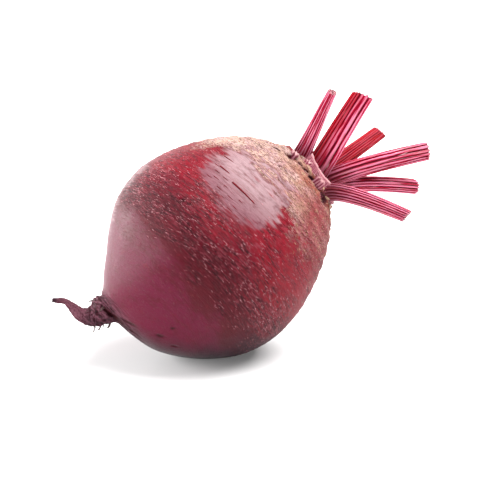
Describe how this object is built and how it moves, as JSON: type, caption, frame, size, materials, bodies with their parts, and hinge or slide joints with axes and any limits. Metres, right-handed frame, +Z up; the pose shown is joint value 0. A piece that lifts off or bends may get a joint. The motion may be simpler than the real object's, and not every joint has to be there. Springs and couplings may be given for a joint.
{
  "type": "beetroot",
  "caption": "Whole beetroot lying on its side: a round dark red root with a thin curled tail, a rough tan crown and ribbed leaf stalks trimmed short.",
  "frame": {"origin": "the flat spot that the root rests on, straight under its centre of mass", "axes": "+X from the tail to the crown with its stalks, level; +Z up; the side that the picture shows faces -Y"},
  "size_m": [0.1664, 0.0885, 0.1088],
  "materials": {
    "root_skin": "dark red skin with a soft gloss, tan and corky round the crown",
    "leaf_stalk": "pinkish red, ribbed lengthwise, with a soft gloss",
    "heart_leaf": "pinkish red, fresh cut ends",
    "torn_leaf": "pale pink to tan, dry and ragged"
  },
  "bodies": {
    "root": {"beetroot_body": "root_skin", "leaf_stalk_1": "leaf_stalk", "leaf_stalk_2": "leaf_stalk", "leaf_stalk_3": "leaf_stalk", "leaf_stalk_4": "leaf_stalk", "leaf_stalk_5": "leaf_stalk", "leaf_stalk_6": "leaf_stalk", "heart_stubs": "heart_leaf", "torn_leaf_base_1": "torn_leaf", "torn_leaf_base_2": "torn_leaf", "torn_leaf_base_3": "torn_leaf"}
  },
  "joints": []
}
